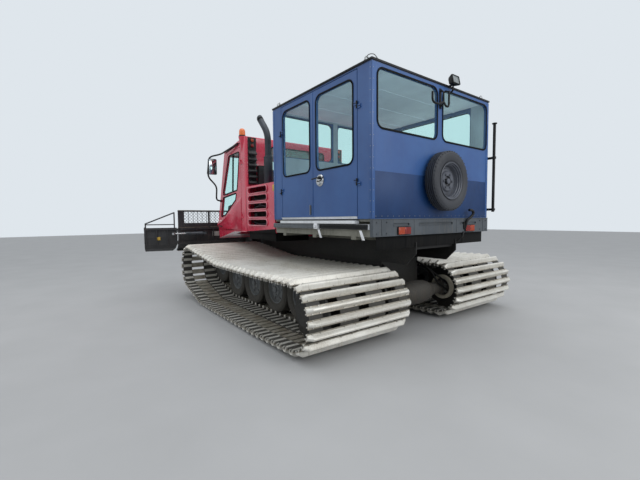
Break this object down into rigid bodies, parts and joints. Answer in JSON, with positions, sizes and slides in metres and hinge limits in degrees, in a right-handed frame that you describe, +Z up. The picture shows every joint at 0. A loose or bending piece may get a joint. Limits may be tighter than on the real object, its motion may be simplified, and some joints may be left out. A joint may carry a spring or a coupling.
{
  "type": "snowcat groomer with passenger cabin",
  "caption": "Tracked snow groomer with a red driver's cab, a blue passenger cabin on its bed and a raised all-way front blade.",
  "frame": {"origin": "centre of the bounding box at ground level, under the track bars", "axes": "+X forward towards the blade, +Y to the vehicle's left side, +Z up"},
  "size_m": [5.8386, 5.235, 3.4987],
  "materials": {
    "frame_paint": "satin",
    "cast_housing": "matte",
    "hub_paint": "satin",
    "tyre_rubber": "matte",
    "track_bars": "worn",
    "bed_paint": "worn",
    "bumper_paint": "satin",
    "step_metal": "brushed",
    "lamp_lens": "gloss",
    "cab_paint": "gloss",
    "stack_metal": "satin",
    "window_glass": "clear",
    "seat_cloth": "matte",
    "dark_plastic": "matte",
    "beacon_lens": "gloss",
    "cabin_paint": "satin",
    "roof_paint": "satin",
    "black_paint": "satin",
    "steel_fittings": "worn",
    "blade_paint": "satin",
    "barrel_paint": "satin",
    "rod_chrome": "polished"
  },
  "bodies": {
    "vehicle": {"chassis_tub": "frame_paint", "frame_rails": "frame_paint", "wheel_arms": "frame_paint", "rear_axle": "cast_housing", "sprockets": "hub_paint", "wheel_discs": "hub_paint", "road_tyres": "tyre_rubber", "track_left": "track_bars", "track_right": "track_bars", "load_bed": "bed_paint", "rear_bumper": "bumper_paint", "side_steps": "step_metal", "tail_lamps": "lamp_lens", "engine_block": "cast_housing", "engine_panels": "cab_paint", "exhaust": "stack_metal", "cab_shell": "cab_paint", "cab_glass": "window_glass", "seats": "seat_cloth", "cab_console": "dark_plastic", "cab_louvres": "dark_plastic", "beacon": "beacon_lens", "mirrors": "dark_plastic", "cabin_walls": "cabin_paint", "cabin_roof": "roof_paint", "cabin_glass": "window_glass", "spare_tyre": "tyre_rubber", "spare_rim": "hub_paint", "rear_fittings": "black_paint", "lifting_eyes": "steel_fittings"},
    "cab_door_left": {"cab_door_left": "cab_paint", "cab_door_left_glass": "window_glass"},
    "cab_door_right": {"cab_door_right": "cab_paint", "cab_door_right_glass": "window_glass"},
    "front_leaf": {"front_leaf": "cabin_paint", "front_leaf_glass": "window_glass"},
    "rear_leaf": {"rear_leaf": "cabin_paint", "rear_leaf_glass": "window_glass"},
    "lift_frame": {"lift_frame": "blade_paint"},
    "swivel": {"swivel": "blade_paint"},
    "blade": {"blade": "blade_paint"},
    "wing_left": {"wing_left": "blade_paint"},
    "wing_right": {"wing_right": "blade_paint"},
    "lift_barrels": {"lift_barrels": "barrel_paint"},
    "lift_rods": {"lift_rods": "rod_chrome"},
    "angle_barrel_left": {"angle_barrel_left": "barrel_paint"},
    "angle_rod_left": {"angle_rod_left": "rod_chrome"},
    "angle_barrel_right": {"angle_barrel_right": "barrel_paint"},
    "angle_rod_right": {"angle_rod_right": "rod_chrome"},
    "tilt_barrel": {"tilt_barrel": "barrel_paint"},
    "tilt_rod": {"tilt_rod": "rod_chrome"},
    "wing_barrel_left": {"wing_barrel_left": "barrel_paint"},
    "wing_rod_left": {"wing_rod_left": "rod_chrome"},
    "wing_barrel_right": {"wing_barrel_right": "barrel_paint"},
    "wing_rod_right": {"wing_rod_right": "rod_chrome"}
  },
  "joints": [
    {"name": "lift", "type": "hinge", "parent": "vehicle", "child": "lift_frame", "pos_m": [1.27072, 0, 0.4], "axis": [0, -1, 0], "range_deg": [-28, 2]},
    {"name": "lift_barrel_tilt", "type": "hinge", "parent": "vehicle", "child": "lift_barrels", "pos_m": [1.11072, 0, 1.1], "axis": [0, -1, 0], "range_deg": [-15.64, 1.14]},
    {"name": "lift_rod_slide", "type": "slide", "parent": "lift_barrels", "child": "lift_rods", "axis": [0.9671, 0, -0.2545], "range_m": [-0.02099, 0.28991]},
    {"name": "blade_angle", "type": "hinge", "parent": "lift_frame", "child": "swivel", "pos_m": [2.33072, 0, 1.04], "axis": [0, 0, 1], "range_deg": [-12, 12]},
    {"name": "angle_barrel_left_swing", "type": "hinge", "parent": "lift_frame", "child": "angle_barrel_left", "pos_m": [1.96072, 0.33, 0.88], "axis": [0, 0, 1], "range_deg": [-2.96, 2.96]},
    {"name": "angle_rod_left_slide", "type": "slide", "parent": "angle_barrel_left", "child": "angle_rod_left", "axis": [1, 0, 0], "range_m": [-0.06941, 0.06941]},
    {"name": "angle_barrel_right_swing", "type": "hinge", "parent": "lift_frame", "child": "angle_barrel_right", "pos_m": [1.96072, -0.33, 0.88], "axis": [0, 0, 1], "range_deg": [-2.96, 2.96]},
    {"name": "angle_rod_right_slide", "type": "slide", "parent": "angle_barrel_right", "child": "angle_rod_right", "axis": [1, 0, 0], "range_m": [-0.06941, 0.06941]},
    {"name": "blade_tilt", "type": "hinge", "parent": "swivel", "child": "blade", "pos_m": [2.50072, 0, 1.04], "axis": [1, 0, 0], "range_deg": [-6, 6]},
    {"name": "tilt_barrel_swing", "type": "hinge", "parent": "swivel", "child": "tilt_barrel", "pos_m": [2.43872, -0.35, 1.24], "axis": [1, 0, 0], "range_deg": [-2.52, 2.52]},
    {"name": "tilt_rod_slide", "type": "slide", "parent": "tilt_barrel", "child": "tilt_rod", "axis": [0, 1, 0], "range_m": [-0.02124, 0.02124]},
    {"name": "wing_left_fold", "type": "hinge", "parent": "blade", "child": "wing_left", "pos_m": [2.53272, 1.955, 0.85], "axis": [0, 0, 1], "range_deg": [-15, 20]},
    {"name": "wing_barrel_left_swing", "type": "hinge", "parent": "blade", "child": "wing_barrel_left", "pos_m": [2.42072, 1.4, 1.24], "axis": [0, 0, 1], "range_deg": [-2.74, 3.65]},
    {"name": "wing_rod_left_slide", "type": "slide", "parent": "wing_barrel_left", "child": "wing_rod_left", "axis": [-0.0141, 0.9999, 0], "range_m": [-0.04342, 0.03264]},
    {"name": "wing_right_fold", "type": "hinge", "parent": "blade", "child": "wing_right", "pos_m": [2.53272, -1.955, 0.85], "axis": [0, 0, 1], "range_deg": [-20, 15]},
    {"name": "wing_barrel_right_swing", "type": "hinge", "parent": "blade", "child": "wing_barrel_right", "pos_m": [2.42072, -1.4, 1.24], "axis": [0, 0, 1], "range_deg": [-3.65, 2.74]},
    {"name": "wing_rod_right_slide", "type": "slide", "parent": "wing_barrel_right", "child": "wing_rod_right", "axis": [-0.0141, -0.9999, 0], "range_m": [-0.04342, 0.03264]},
    {"name": "cab_door_left_swing", "type": "hinge", "parent": "vehicle", "child": "cab_door_left", "pos_m": [0.83072, 1.214, 1.3], "axis": [0, 0, 1], "range_deg": [0, 80]},
    {"name": "cab_door_right_swing", "type": "hinge", "parent": "vehicle", "child": "cab_door_right", "pos_m": [0.83072, -1.214, 1.3], "axis": [0, 0, -1], "range_deg": [0, 80]},
    {"name": "front_leaf_swing", "type": "hinge", "parent": "vehicle", "child": "front_leaf", "pos_m": [-0.77928, 1.255, 1.552], "axis": [0, 0, -1], "range_deg": [0, 110]},
    {"name": "rear_leaf_swing", "type": "hinge", "parent": "vehicle", "child": "rear_leaf", "pos_m": [-2.49928, 1.255, 1.552], "axis": [0, 0, 1], "range_deg": [0, 110]}
  ],
  "couplings": [
    {"joint": "lift_barrel_tilt", "follows": "lift", "ratio": 0.55793},
    {"joint": "lift_rod_slide", "follows": "lift", "m_per_rad": -0.59263},
    {"joint": "angle_barrel_left_swing", "follows": "blade_angle", "ratio": 0.24535},
    {"joint": "angle_rod_left_slide", "follows": "blade_angle", "m_per_rad": -0.32997},
    {"joint": "angle_barrel_right_swing", "follows": "blade_angle", "ratio": 0.24535},
    {"joint": "angle_rod_right_slide", "follows": "blade_angle", "m_per_rad": 0.32997},
    {"joint": "tilt_barrel_swing", "follows": "blade_tilt", "ratio": 0.41669},
    {"joint": "tilt_rod_slide", "follows": "blade_tilt", "m_per_rad": -0.19991},
    {"joint": "wing_barrel_left_swing", "follows": "wing_left_fold", "ratio": 0.18136},
    {"joint": "wing_rod_left_slide", "follows": "wing_left_fold", "m_per_rad": -0.12352},
    {"joint": "wing_barrel_right_swing", "follows": "wing_right_fold", "ratio": 0.18136},
    {"joint": "wing_rod_right_slide", "follows": "wing_right_fold", "m_per_rad": 0.12352}
  ]
}
